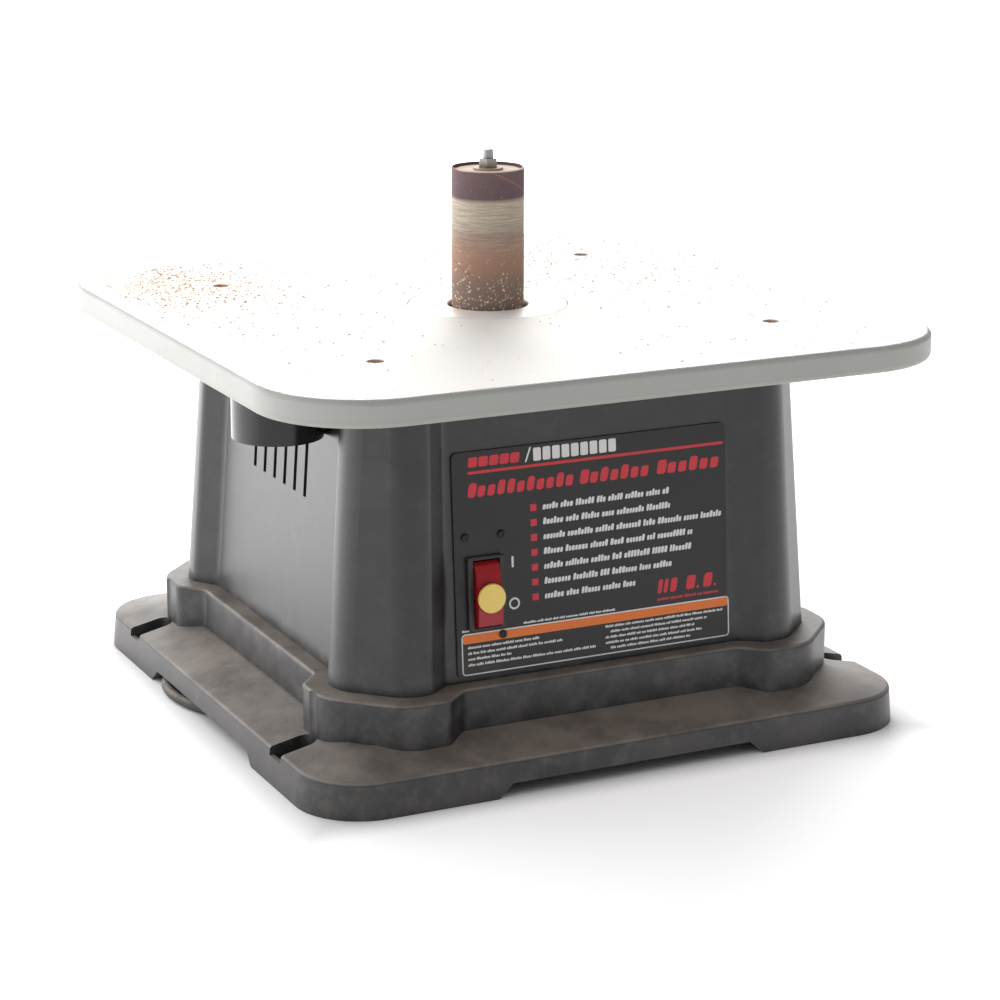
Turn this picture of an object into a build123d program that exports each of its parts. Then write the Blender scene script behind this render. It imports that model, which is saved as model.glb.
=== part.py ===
from build123d import *
import math
import os

# Oscillating spindle sander, a benchtop machine. Millimetres, +Z up.
# Origin: on the floor under the spindle axis. +X runs to the right along the
# front face with the switch panel, +Y runs to the back.

# ---- driving dimensions ----
TABLE_SIZE = 508.0            # 20 in square work surface
TABLE_CORNER = 76.0
TABLE_TOP = 290.0
TABLE_THICK = 19.0
TABLE_BOTTOM = TABLE_TOP - TABLE_THICK
EDGE_BAND = 5.0
LAMINATE = 1.0
TABLE_SCREW_X = 154.0
TABLE_SCREW_Y = 146.0

BASE_X = 462.0                # skirt outline, at the deck's edge
BASE_Y = 464.0
BASE_CORNER = 46.0
SKIRT_HEIGHT = 25.5
SKIRT_DRAFT = 2.0
DECK_RISE = 9.0               # the deck climbs from its edge to the plinth
WALL = 4.5
PLINTH_TOP = 64.0
CUT_HALF = 93.0               # half length of the low openings under each skirt side
CUT_SLANT = 12.0
CUT_HEIGHT = 9.5
NOTCH_WIDTH = 20.0            # bench-bolt notches in the deck's left and right edges
NOTCH_Y = 146.0
NOTCH_END_X = 201.0
NOTCH_MOUTH = 19.5            # the skirt's wall stays whole below this height
NOTCH_WALL = 3.0
NOTCH_FLOOR = 5.0
BOLT_HOLE_X = 215.0
BOLT_HOLE_R = 4.5

PANEL_WIDTH = 214.0
PANEL_HEIGHT = 158.0
PANEL_THICK = 1.5
PANEL_Z = 146.0
SWITCH_X = -84.5              # switch centre, across the panel
SWITCH_Y = -20.0              # switch centre, up the panel
BEZEL_WIDTH = 28.0
BEZEL_HEIGHT = 52.0
PADDLE_WIDTH = 18.5
PADDLE_HEIGHT = 46.0
KEY_R = 10.3
SCREW_R = 1.6
PIVOT_R = 1.2                 # the paddle's pivot, in the bezel's side walls
PIVOT_OUT = 3.0
PIVOT_DOWN = 3.4

VENT_COUNT = 6
VENT_PITCH = 19.2
VENT_WIDTH = 5.4
VENT_LOW = 173.0
VENT_HIGH = 226.0

PORT_X = -193.5
PORT_Y = -66.0
PORT_R = 32.0                 # 2 1/2 in dust port
PORT_BORE = 29.0
PORT_BOTTOM = 225.0
CHAMBER_R = 55.0
CHAMBER_BOTTOM = 231.0
DUCT_TOP = 266.0
DUCT_WIDTH = 56.0

STROKE = 11.0                 # the spindle moves this far up and down from its middle
SLEEVE_R = 26.5
SLEEVE_BORE = 25.4            # 2 in drum
SLEEVE_LOW = 277.0
SLEEVE_HIGH = 391.0           # 4 1/2 in long sleeve
SHAFT_R = 8.0
ARBOR_R = 6.35
STUD_R = 3.95
STUD_TOP = 404.0
NUT_FLATS = 12.7
INSERT_R = 59.0
INSERT_BORE = 29.8
INSERT_THICK = 3.7

POST_Y = 95.0
POST_R = 8.0
BRIDGE_LOW = 22.0
BRIDGE_HIGH = 28.0
MOTOR_R = 69.0
BELL_R = 79.0
MOTOR_LOW = 112.0
MOTOR_HIGH = 208.0
TIE_R = 73.5

WHEEL_TEETH = 29
WORM_LEAD = 4.71              # axial pitch of the one-start worm
WORM_TIP = 9.2
WORM_ROOT = 6.6
WHEEL_TIP = 22.8
WHEEL_ROOT = 19.4
WHEEL_Y = 29.75               # distance from the spindle axis to the wheel axis
WHEEL_Z = 74.0
CRANK_R = STROKE
ROLLER_R = 5.0
YOKE_CLEARANCE = 2.6          # the roller runs level while the case rises: see stroke_yoke
GEARCASE_LOW = 46.0
COVER_X = 10.5
CRANK_X = COVER_X + 9.0       # inner face of the crank disc
YOKE_X = CRANK_X + 9.0
WORM_PHASE = 270.0

CORD_R = 3.8
CORD_Z = 4.0
EXIT_X = 60.0
EXIT_Z = 48.0
COIL_X = -75.0
COIL_Y = -100.0
COIL_MEAN_R = 46.0

GAP = 0.3                     # between pieces that move past each other
RUNNING = 0.05                # radial clearance of a running fit


# ---- small helpers ----
def cylinder(radius, low, high, x=0.0, y=0.0):
    """An upright cylinder between two heights."""
    return Pos(x, y, (low + high) / 2) * Cylinder(radius, high - low)


def ring(outer, inner, low, high, x=0.0, y=0.0):
    """An upright ring between two heights."""
    return cylinder(outer, low, high, x, y) - cylinder(inner, low - 1, high + 1, x, y)


def block(low, high):
    """A box between two corners."""
    size = [b - a for a, b in zip(low, high)]
    middle = [(a + b) / 2 for a, b in zip(low, high)]
    return Pos(*middle) * Box(*size)


def cross_cylinder(radius, low, high, y, z):
    """A cylinder lying along X."""
    return Pos((low + high) / 2, y, z) * (Rot(0, 90, 0) * Cylinder(radius, high - low))


def rounded_slab(width, depth, radius, low, high):
    """A flat slab with round corners."""
    return extrude(Pos(0, 0, low) * RectangleRounded(width, depth, radius), high - low)


def tapered_slab(bottom, top, low, high):
    """A straight-sided body between two rounded rectangles (width, depth, radius)."""
    lower = Pos(0, 0, low) * RectangleRounded(*bottom)
    upper = Pos(0, 0, high) * RectangleRounded(*top)
    return loft([lower, upper], ruled=True)


def save(name, shape):
    export_step(shape, "parts/" + name + ".step")


# ---- housing ----
# Each level of the moulding: (recess, lobe, recess end, lobe start, lobe end)
PLINTH = (187.0, 203.0, 108.0, 126.0, 159.0)
WAIST = (174.0, 187.0, 115.0, 133.0, 151.0)
CROWN = (159.3, 172.3, 111.0, 128.0, 144.3)
DRAFT = (WAIST[0] - CROWN[0]) / (TABLE_BOTTOM - PLINTH_TOP)


def lobed_face(level, z, corner, inset=0.0):
    """A square outline with recessed sides and a round lobe at each corner."""
    recess, lobe, recess_end, lobe_start, lobe_end = level
    lean = 0.323 * inset
    recess_end += lean
    lobe_start += lean
    lobe_end -= 0.414 * inset
    recess -= inset
    lobe -= inset
    corner_points = [
        (recess, recess_end), (lobe, lobe_start), (lobe, lobe_end),
        (lobe_end, lobe), (lobe_start, lobe), (recess_end, recess),
    ]
    soft = 10.0
    corner_radii = [soft + inset, soft - inset, corner - inset]
    corner_radii += corner_radii[::-1]
    points = []
    radii = []
    for quarter in range(4):
        for x, y in corner_points:
            for _ in range(quarter):
                x, y = -y, x
            points.append((x, y, z))
        radii += corner_radii
    outline = FilletPolyline(*points, radius=radii, close=True)
    return make_face(outline)


def housing_outside():
    skirt = tapered_slab(
        (BASE_X + 2 * SKIRT_DRAFT, BASE_Y + 2 * SKIRT_DRAFT, BASE_CORNER + SKIRT_DRAFT),
        (BASE_X, BASE_Y, BASE_CORNER), 0, SKIRT_HEIGHT)
    deck_top = (2 * PLINTH[0] + 4, 2 * PLINTH[0] + 4, 20)
    deck = tapered_slab((BASE_X, BASE_Y, BASE_CORNER), deck_top,
                        SKIRT_HEIGHT, SKIRT_HEIGHT + DECK_RISE)
    foot = skirt + deck
    rim = foot.edges().filter_by_position(Axis.Z, SKIRT_HEIGHT - 0.1, SKIRT_HEIGHT + 0.1)
    foot = fillet(rim, 3.0)
    plinth = extrude(lobed_face(PLINTH, SKIRT_HEIGHT, 34.0), PLINTH_TOP - SKIRT_HEIGHT)
    ledge = plinth.edges().filter_by_position(Axis.Z, PLINTH_TOP - 0.1, PLINTH_TOP + 0.1)
    plinth = fillet(ledge, 2.5)
    tower = loft([lobed_face(WAIST, PLINTH_TOP - 1, 26.0),
                  lobed_face(CROWN, TABLE_BOTTOM, 26.0)], ruled=True)
    return foot + plinth + tower


def housing_inside():
    wide = (BASE_X - 2 * WALL, BASE_Y - 2 * WALL, BASE_CORNER - WALL)
    under_deck = SKIRT_HEIGHT - WALL
    skirt = tapered_slab(wide, wide, -1, under_deck)
    deck_top = (2 * (PLINTH[0] - WALL), 2 * (PLINTH[0] - WALL), 16)
    deck = tapered_slab(wide, deck_top, under_deck, under_deck + DECK_RISE)
    plinth_face = lobed_face(PLINTH, under_deck, 34.0, WALL)
    plinth = extrude(plinth_face, PLINTH_TOP - WALL - under_deck)
    tower = loft([lobed_face(WAIST, PLINTH_TOP - WALL - 1, 26.0, WALL),
                  lobed_face(CROWN, TABLE_BOTTOM + 1, 26.0, WALL)], ruled=True)
    return skirt + deck + plinth + tower


def skirt_cut(turn):
    """The low slanted-end opening under one side of the skirt."""
    profile = make_face(Polyline(
        (-CUT_HALF - CUT_SLANT, -1), (CUT_HALF + CUT_SLANT, -1),
        (CUT_HALF, CUT_HEIGHT), (-CUT_HALF, CUT_HEIGHT), close=True))
    slot = extrude(Plane.XZ.offset(BASE_Y / 2 - 8) * profile, 16)
    return Rot(0, 0, turn) * slot


def notch_corners():
    return [(sx, sy) for sx in (-1, 1) for sy in (-1, 1)]


def notch_plan(sx, sy, grow):
    """Plan of one notch: a slot that is open to the side, with a round inner end."""
    half = NOTCH_WIDTH / 2 + grow
    centre_x = sx * (NOTCH_END_X + NOTCH_WIDTH / 2)
    end = Pos(centre_x, sy * NOTCH_Y) * Circle(half)
    run = 40.0
    strip = Pos(centre_x + sx * run / 2, sy * NOTCH_Y) * Rectangle(run, 2 * half)
    return end + strip


def bolt_pockets(outside):
    """Walls and floors of the four bench-bolt notches, inside the skirt."""
    pockets = None
    for sx, sy in notch_corners():
        pillar = extrude(notch_plan(sx, sy, 3.0), SKIRT_HEIGHT + 4)
        pockets = pillar if pockets is None else pockets + pillar
    return pockets & outside


def housing():
    outside = housing_outside()
    body = outside - housing_inside()
    body = body + bolt_pockets(outside)
    for sx in (-1, 1):
        for sy in (-1, 1):
            post = cylinder(15.0, 232, TABLE_BOTTOM, sx * TABLE_SCREW_X, sy * TABLE_SCREW_Y)
            body = body + (post & outside)
            body = body - cylinder(2.5, 225, TABLE_BOTTOM + 1,
                                   sx * TABLE_SCREW_X, sy * TABLE_SCREW_Y)
    within = BASE_X / 2 - NOTCH_WALL
    inside = block((-within, -BASE_Y / 2, NOTCH_FLOOR), (within, BASE_Y / 2, 60))
    for sx, sy in notch_corners():
        opening = extrude(notch_plan(sx, sy, 0.0), 60)
        body = body - Pos(0, 0, NOTCH_MOUTH) * opening
        body = body - (opening & inside)
        body = body - cylinder(BOLT_HOLE_R, -1, NOTCH_FLOOR + 1,
                               sx * BOLT_HOLE_X, sy * NOTCH_Y)
    for turn in (0, 90, 180, 270):
        body = body - skirt_cut(turn)
    for index in range(VENT_COUNT):
        y = (index - (VENT_COUNT - 1) / 2) * VENT_PITCH + 2.0
        slot = block((-200, y - VENT_WIDTH / 2, VENT_LOW), (200, y + VENT_WIDTH / 2, VENT_HIGH))
        body = body - slot
    body = body - duct_shape(2.0, CHAMBER_BOTTOM - 2, TABLE_BOTTOM + 1)
    window = Box(PADDLE_WIDTH + 4, PADDLE_HEIGHT + 1, 30)
    body = body - panel_plane() * (Pos(SWITCH_X, SWITCH_Y, -5) * window)
    for x, y in switch_screw_places():
        body = body - panel_plane() * (Pos(x, y, 0) * Cylinder(SCREW_R + GAP, 20))
    exit_hole = Pos(EXIT_X, PLINTH[0], EXIT_Z) * (Rot(90, 0, 0) * Cylinder(7.0, 30))
    body = body - exit_hole
    return body


# ---- table ----
def table_board():
    inner = TABLE_SIZE - 2 * EDGE_BAND
    board = rounded_slab(inner, inner, TABLE_CORNER - EDGE_BAND,
                         TABLE_BOTTOM, TABLE_TOP - LAMINATE)
    board = board - cylinder(52.0, TABLE_BOTTOM - 1, TABLE_TOP)
    board = board - cylinder(INSERT_R + GAP, TABLE_TOP - 4, TABLE_TOP)
    return board - screw_holes()


def table_laminate():
    inner = TABLE_SIZE - 2 * EDGE_BAND
    sheet = rounded_slab(inner, inner, TABLE_CORNER - EDGE_BAND,
                         TABLE_TOP - LAMINATE, TABLE_TOP)
    sheet = sheet - cylinder(INSERT_R + GAP, TABLE_TOP - 4, TABLE_TOP + 1)
    return sheet - screw_holes()


def screw_holes():
    holes = None
    for sx in (-1, 1):
        for sy in (-1, 1):
            x = sx * TABLE_SCREW_X
            y = sy * TABLE_SCREW_Y
            hole = cylinder(3.0, TABLE_BOTTOM - 1, TABLE_TOP + 1, x, y)
            hole = hole + cylinder(6.0, TABLE_TOP - 4.5, TABLE_TOP + 1, x, y)
            holes = hole if holes is None else holes + hole
    return holes


def table_edge_band():
    inner = TABLE_SIZE - 2 * EDGE_BAND
    slab = rounded_slab(TABLE_SIZE, TABLE_SIZE, TABLE_CORNER, TABLE_BOTTOM, TABLE_TOP)
    slab = fillet(slab.edges().filter_by(Axis.Z, reverse=True), 4.0)
    hole = rounded_slab(inner, inner, TABLE_CORNER - EDGE_BAND,
                        TABLE_BOTTOM - 1, TABLE_TOP + 1)
    return slab - hole


def table_screws():
    screws = []
    for sx in (-1, 1):
        for sy in (-1, 1):
            x = sx * TABLE_SCREW_X
            y = sy * TABLE_SCREW_Y
            head_low = TABLE_TOP - 4.5
            head = cylinder(5.8, head_low, TABLE_TOP - 1.2, x, y)
            recess = Pos(x, y, TABLE_TOP - 1.5) * (Box(7, 1.6, 3) + Box(1.6, 7, 3))
            shank = cylinder(2.5, 232, head_low, x, y)
            screws.append(head - recess + shank)
    return Compound(children=screws)


def table_insert():
    plate = ring(INSERT_R, INSERT_BORE, TABLE_TOP - INSERT_THICK, TABLE_TOP)
    rim = plate.edges().filter_by_position(Axis.Z, TABLE_TOP - 0.1, TABLE_TOP + 0.1)
    return chamfer(rim, 0.8)


# ---- fixed frame under the table ----
def mounting_plate():
    plate = rounded_slab(150, 280, 12, TABLE_BOTTOM - 4, TABLE_BOTTOM)
    plate = plate - cylinder(CHAMBER_R + 1.5, TABLE_BOTTOM - 5, TABLE_BOTTOM + 1)
    for x, y in plate_screw_places():
        plate = plate - cylinder(2.6, TABLE_BOTTOM - 5, TABLE_BOTTOM + 1, x, y)
    return plate


def plate_screw_places():
    return [(sx * 60, sy * 125) for sx in (-1, 1) for sy in (-1, 1)]


def plate_screws():
    screws = []
    for x, y in plate_screw_places():
        head = cylinder(5.0, TABLE_BOTTOM - 7.2, TABLE_BOTTOM - 4, x, y)
        screws.append(head + cylinder(2.4, TABLE_BOTTOM - 4, TABLE_BOTTOM - 0.2, x, y))
    return Compound(children=screws)


def guide_posts():
    posts = []
    for sy in (-1, 1):
        post = cylinder(POST_R, BRIDGE_HIGH, TABLE_BOTTOM - 4, 0, sy * POST_Y)
        stud = cylinder(4.0, BRIDGE_LOW - 5, BRIDGE_HIGH, 0, sy * POST_Y)
        posts.append(post + stud)
    return Compound(children=posts)


def lower_bridge():
    bar = block((-20, -115, BRIDGE_LOW), (45, 115, BRIDGE_HIGH))
    bar = fillet(bar.edges().filter_by(Axis.Z), 8)
    for sy in (-1, 1):
        bar = bar - cylinder(4.0, BRIDGE_LOW - 1, BRIDGE_HIGH + 1, 0, sy * POST_Y)
    return bar


def hexagon_nut(flats, bore, low, high, x=0.0, y=0.0):
    hexagon = RegularPolygon(flats / 2, 6, major_radius=False)
    nut = extrude(Pos(x, y, low) * hexagon, high - low)
    crown = Pos(x, y, (low + high) / 2) * Cylinder(flats * 0.56, high - low)
    crown = chamfer(crown.edges().filter_by(GeomType.CIRCLE), 0.6)
    return (nut & crown) - cylinder(bore, low - 1, high + 1, x, y)


def bridge_nuts():
    nuts = [hexagon_nut(13, 4.0, BRIDGE_LOW - 4.5, BRIDGE_LOW, 0, sy * POST_Y) for sy in (-1, 1)]
    return Compound(children=nuts)


def stroke_yoke():
    """Fixed upright plate whose level slot holds the crank roller at one height."""
    plate = block((YOKE_X, 8, BRIDGE_HIGH), (YOKE_X + 5, 66, WHEEL_Z + 17))
    foot = block((YOKE_X - 4, 8, BRIDGE_HIGH), (YOKE_X + 14, 66, BRIDGE_HIGH + 4))
    half = ROLLER_R + YOKE_CLEARANCE
    slot = block((YOKE_X - 5, WHEEL_Y - half - 1, WHEEL_Z - half),
                 (YOKE_X + 10, WHEEL_Y + CRANK_R + half + 1, WHEEL_Z + half))
    return plate + foot - slot


# ---- dust collection ----
def duct_shape(grow, low, high):
    """The duct's outer body, from the chamber out to the port, widened by grow."""
    length = math.hypot(PORT_X, PORT_Y)
    turn = math.degrees(math.atan2(PORT_Y, PORT_X))
    half = DUCT_WIDTH / 2 + grow
    run = block((0, -half, low), (length, half, high))
    return Rot(0, 0, turn) * run


def dust_chamber():
    """Round chamber around the spindle under the table, with the duct to the port."""
    wall = 3.0
    body = cylinder(CHAMBER_R, CHAMBER_BOTTOM, TABLE_BOTTOM)
    body = body + duct_shape(0, CHAMBER_BOTTOM, DUCT_TOP)
    hollow = cylinder(CHAMBER_R - wall, CHAMBER_BOTTOM + wall, TABLE_BOTTOM + 1)
    hollow = hollow + duct_shape(-wall, CHAMBER_BOTTOM + wall, DUCT_TOP - wall)
    body = body - hollow
    body = body - cylinder(SHAFT_R + 3, CHAMBER_BOTTOM - 1, CHAMBER_BOTTOM + wall + 1)
    return body - cylinder(PORT_R, PORT_BOTTOM - 1, TABLE_BOTTOM + 1, PORT_X, PORT_Y)


def dust_port():
    """The upright 2 1/2 in spigot that a hose pushes onto from below."""
    cup = cylinder(PORT_R, PORT_BOTTOM, TABLE_BOTTOM - 0.2, PORT_X, PORT_Y)
    cup = cup - cylinder(PORT_BORE, PORT_BOTTOM - 1, TABLE_BOTTOM - 3, PORT_X, PORT_Y)
    # A flat on the inner side keeps the cup clear of the tower's wall
    flat = PORT_X + PORT_R - 1.4
    cup = cup - block((flat, PORT_Y - 20, PORT_BOTTOM - 1), (flat + 5, PORT_Y + 20, TABLE_BOTTOM))
    mouth = duct_shape(-3.0, CHAMBER_BOTTOM + 3, DUCT_TOP - 3)
    return cup - mouth


# ---- front panel and switch ----
def panel_plane():
    """Local frame on the leaning front face: X right, Y up the face, Z outwards."""
    y = -(WAIST[0] - DRAFT * (PANEL_Z - PLINTH_TOP))
    lean = math.atan(DRAFT)
    return Plane(origin=(0, y, PANEL_Z), x_dir=(1, 0, 0),
                 z_dir=(0, -math.cos(lean), math.sin(lean)))


def on_panel(shape):
    return panel_plane() * shape


def panel_block(x_low, x_high, y_low, y_high, z_low, z_high):
    return block((x_low, y_low, z_low), (x_high, y_high, z_high))


def switch_opening(z_low, z_high):
    half_x = PADDLE_WIDTH / 2 + 1
    half_y = PADDLE_HEIGHT / 2 + 1
    return panel_block(SWITCH_X - half_x, SWITCH_X + half_x,
                       SWITCH_Y - half_y, SWITCH_Y + half_y, z_low, z_high)


def switch_screw_places():
    return [(-98.5, 20.0), (-71.0, 19.5), (-72.0, -51.0)]


def front_panel():
    plate = extrude(RectangleRounded(PANEL_WIDTH, PANEL_HEIGHT, 4), PANEL_THICK)
    plate = plate - switch_opening(-1, PANEL_THICK + 1)
    for x, y in switch_screw_places():
        plate = plate - Pos(x, y, 0) * Cylinder(SCREW_R, 10)
    return on_panel(plate)


def switch_bezel():
    face = Pos(SWITCH_X, SWITCH_Y) * RectangleRounded(BEZEL_WIDTH, BEZEL_HEIGHT, 2)
    frame = extrude(Pos(0, 0, PANEL_THICK) * face, 3.5)
    top_edges = frame.edges().sort_by(Axis.Z)[-8:]
    frame = fillet(top_edges, 1.0)
    frame = frame - switch_opening(0, 20)
    return on_panel(frame - paddle_pivot(PIVOT_R + RUNNING, BEZEL_WIDTH / 2 - 1.5))


def switch_body():
    """Switch case behind the wall, clear of the paddle's back."""
    case = panel_block(SWITCH_X - 15, SWITCH_X + 15, SWITCH_Y - 27, SWITCH_Y + 27, -38, -8)
    for y in (-18, 0, 18):
        case = case + panel_block(SWITCH_X - 3, SWITCH_X + 3,
                                  SWITCH_Y + y - 1, SWITCH_Y + y + 1, -46, -38)
    return on_panel(case)


def switch_screws():
    screws = []
    for x, y in switch_screw_places():
        head = Pos(x, y, PANEL_THICK + 0.9) * Cylinder(2.9, 1.8)
        head = fillet(head.edges().sort_by(Axis.Z)[-1:], 1.0)
        recess = Pos(x, y, PANEL_THICK + 1.8) * (Box(3.2, 0.8, 1.6) + Box(0.8, 3.2, 1.6))
        shank = Pos(x, y, -1.5) * Cylinder(SCREW_R, 6.0)
        screws.append(head - recess + shank)
    return on_panel(Compound(children=screws))


def paddle_top():
    return SWITCH_Y + PADDLE_HEIGHT / 2


def paddle_pivot(radius, half_length):
    """The hinge line near the paddle's top, as a cylinder in the panel's frame."""
    bar = Rot(0, 90, 0) * Cylinder(radius, 2 * half_length)
    return Pos(SWITCH_X, paddle_top() - PIVOT_DOWN, PIVOT_OUT) * bar


def switch_paddle():
    """The red lever, hinged near its top in the bezel's side walls."""
    top = paddle_top()
    bottom = top - PADDLE_HEIGHT
    profile = make_face(Polyline(
        (-3, top - 1), (3, top - 0.5), (6, top - 3), (7.5, top - 8), (9.5, top - 18),
        (10.5, top - 34), (9.5, bottom + 1), (6, bottom), (-3, bottom + 2), close=True))
    turned = Plane(origin=(SWITCH_X - PADDLE_WIDTH / 2, 0, 0),
                   x_dir=(0, 0, 1), z_dir=(1, 0, 0))
    # The plane's Y axis is the panel's -Y, so the profile is mirrored first.
    solid = extrude(turned * mirror(profile, about=Plane.XZ), PADDLE_WIDTH)
    key_y = SWITCH_Y - 2
    slot = panel_block(SWITCH_X - 6, SWITCH_X + 6, key_y - 1.9, key_y + 1.9, -1, 20)
    pivot = paddle_pivot(PIVOT_R, BEZEL_WIDTH / 2 - 2)
    return on_panel(solid - slot + pivot)


def switch_key():
    """The yellow lock-off key: a round cap on a flat blade."""
    key_y = SWITCH_Y - 2
    seat = 10.8
    cap = Pos(SWITCH_X, key_y, seat + 1.25) * Cylinder(KEY_R, 2.5)
    cap = fillet(cap.edges().filter_by(GeomType.CIRCLE), 0.8)
    blade = panel_block(SWITCH_X - 5.5, SWITCH_X + 5.5, key_y - 1.5, key_y + 1.5, 0, seat + 1)
    return on_panel(cap + blade)


# ---- accessory holder ----
def back_face(z):
    """Y of the recessed back face at one height."""
    return WAIST[0] - DRAFT * (z - PLINTH_TOP)


RAIL_Z = 176.0


def holder_rail():
    """Strip on the back wall, held off by three spacers, that the holder hangs on."""
    wall_y = back_face(RAIL_Z)
    rail = block((-90, wall_y + 5, RAIL_Z - 6), (90, wall_y + 8, RAIL_Z + 6))
    for x in (-70, 0, 70):
        rail = rail + block((x - 6, wall_y + 0.25, RAIL_Z - 3), (x + 6, wall_y + 6, RAIL_Z + 3))
    return rail


def accessory_holder():
    """Lift-off shelf with pegs for spare drums and sleeves."""
    wall_y = back_face(RAIL_Z)
    front = wall_y + 8 + GAP
    back = block((-98, front, 112), (98, front + 3, RAIL_Z + 9))
    hook_top = block((-50, wall_y + 5 - GAP - 2, RAIL_Z + 6 + GAP), (50, front + 3, RAIL_Z + 9))
    hook_lip = block((-50, wall_y + 5 - GAP - 2, RAIL_Z + 1), (50, wall_y + 5 - GAP, RAIL_Z + 9))
    hooks = hook_top + hook_lip
    hooks = hooks - block((-8, wall_y - 5, RAIL_Z - 4), (8, wall_y + 5, RAIL_Z + 12))
    shelf = block((-98, front, 112), (98, front + 58, 116))
    lip = block((-98, front + 55, 112), (98, front + 58, 124))
    holder = back + hooks + shelf + lip
    for sx in (-1, 1):
        side = make_face(Polyline((front, 112), (front + 58, 112), (front + 58, 124),
                                  (front + 3, 160), (front, 160), close=True))
        gusset = extrude(Plane.YZ.offset(sx * 98 - (3 if sx > 0 else 0)) * side, 3)
        holder = holder + gusset
    for x, radius in ((-70, 5.5), (-30, 8.5), (12, 8.5), (62, 11.0)):
        holder = holder + cylinder(radius, 115, 158, x, front + 30)
    return holder


# ---- motor carriage ----
def ear(low, high):
    """Arm from the bell out to both guide posts, with a boss at each end."""
    arms = block((-13, -POST_Y, low), (13, POST_Y, high))
    for sy in (-1, 1):
        arms = arms + cylinder(15.0, low, high, 0, sy * POST_Y)
    return arms


def bush_holes(body):
    for sy in (-1, 1):
        body = body - cylinder(11.0, 80, 230, 0, sy * POST_Y)
    return body


def tie_places():
    return [(TIE_R * math.cos(math.radians(a)), TIE_R * math.sin(math.radians(a)))
            for a in (45, 135, 225, 315)]


def top_end_bell():
    bell = cylinder(BELL_R, MOTOR_HIGH, MOTOR_HIGH + 6) + ear(MOTOR_HIGH, MOTOR_HIGH + 6)
    for sy in (-1, 1):
        bell = bell + cylinder(15.0, MOTOR_HIGH - 8, MOTOR_HIGH + 10, 0, sy * POST_Y)
    bell = bell + cylinder(23.0, MOTOR_HIGH - 1, MOTOR_HIGH + 10)
    bell = bell - cylinder(17.5, MOTOR_HIGH - 1, MOTOR_HIGH + 11)
    for angle in range(0, 360, 45):
        vent = Rot(0, 0, angle + 22.5) * block((32, -4, MOTOR_HIGH - 1), (60, 4, MOTOR_HIGH + 7))
        bell = bell - vent
    for x, y in tie_places():
        bell = bell - cylinder(2.6, MOTOR_HIGH - 1, MOTOR_HIGH + 7, x, y)
    return bush_holes(bell)


def gear_end_bell():
    """Lower end bell with the worm gear's case cast under it, open on its right side."""
    bell = cylinder(BELL_R, MOTOR_LOW - 6, MOTOR_LOW) + ear(MOTOR_LOW - 6, MOTOR_LOW)
    for sy in (-1, 1):
        bell = bell + cylinder(15.0, MOTOR_LOW - 16, MOTOR_LOW + 2, 0, sy * POST_Y)
    case = block((-20, -22, GEARCASE_LOW), (COVER_X, 60, MOTOR_LOW))
    bell = bell + case + cylinder(22.0, 100.9, MOTOR_LOW)
    hollow = block((-16, -18, GEARCASE_LOW + 4), (COVER_X + 1, 56, 100))
    bell = bell - hollow
    bell = bell - cylinder(17.5, 101, MOTOR_LOW + 1)
    bell = bell - cylinder(11.0, 99, 102)
    bell = bell + cylinder(10.4, GEARCASE_LOW, GEARCASE_LOW + 7)
    bell = bell - cylinder(9.0, GEARCASE_LOW - 1, GEARCASE_LOW + 8)
    bell = bell - cross_cylinder(5.0 + RUNNING, -30, 0, WHEEL_Y, WHEEL_Z)
    for x, y in tie_places():
        bell = bell - cylinder(2.6, MOTOR_LOW - 7, MOTOR_LOW + 1, x, y)
    return bush_holes(bell)


def cover_screw_places():
    return [(y, z) for y in (-20, 58) for z in (GEARCASE_LOW + 2, 98)]


def gearcase_cover():
    plate = block((COVER_X, -22, GEARCASE_LOW), (COVER_X + 3, 60, 100.8))
    plate = plate + cross_cylinder(10.0, COVER_X, COVER_X + 8, WHEEL_Y, WHEEL_Z)
    plate = plate - cross_cylinder(5.0 + RUNNING, COVER_X - 1, COVER_X + 9, WHEEL_Y, WHEEL_Z)
    return plate


def cover_screws():
    screws = []
    for y, z in cover_screw_places():
        head = cross_cylinder(2.0, COVER_X + 3, COVER_X + 5.2, y, z)
        screws.append(head)
    return Compound(children=screws)


def guide_bushes():
    bushes = []
    for sy in (-1, 1):
        for low in (MOTOR_LOW - 16, MOTOR_HIGH - 8):
            bushes.append(ring(11.0, POST_R + RUNNING, low, low + 18, 0, sy * POST_Y))
    return Compound(children=bushes)


def bearing(low):
    """Deep-groove bearing: one closed ring with a shallow step at each face."""
    body = ring(17.5, SHAFT_R + RUNNING, low, low + 11)
    for z in (low, low + 10.4):
        body = body - ring(14.5, 11.0, z - 0.01, z + 0.61)
    return body


def worm_end_bush():
    return ring(9.0, 6.0 + RUNNING, GEARCASE_LOW, GEARCASE_LOW + 7)


def motor_shell():
    shell = ring(MOTOR_R, MOTOR_R - 3, MOTOR_LOW, MOTOR_HIGH)
    for angle in range(0, 360, 30):
        slot = block((MOTOR_R - 6, -2.5, 190), (MOTOR_R + 2, 2.5, 202))
        shell = shell - Rot(0, 0, angle + 15) * slot
    return shell


def stator_core():
    return ring(MOTOR_R - 3, 38.5, 132, 182)


def stator_windings():
    coils = []
    for low, high in ((118, 132), (182, 194)):
        coil = ring(60, 43, low, high)
        outer = low if low < 150 else high
        edges = coil.edges().filter_by_position(Axis.Z, outer - 0.1, outer + 0.1)
        coils.append(fillet(edges, 4))
    return Compound(children=coils)


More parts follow.
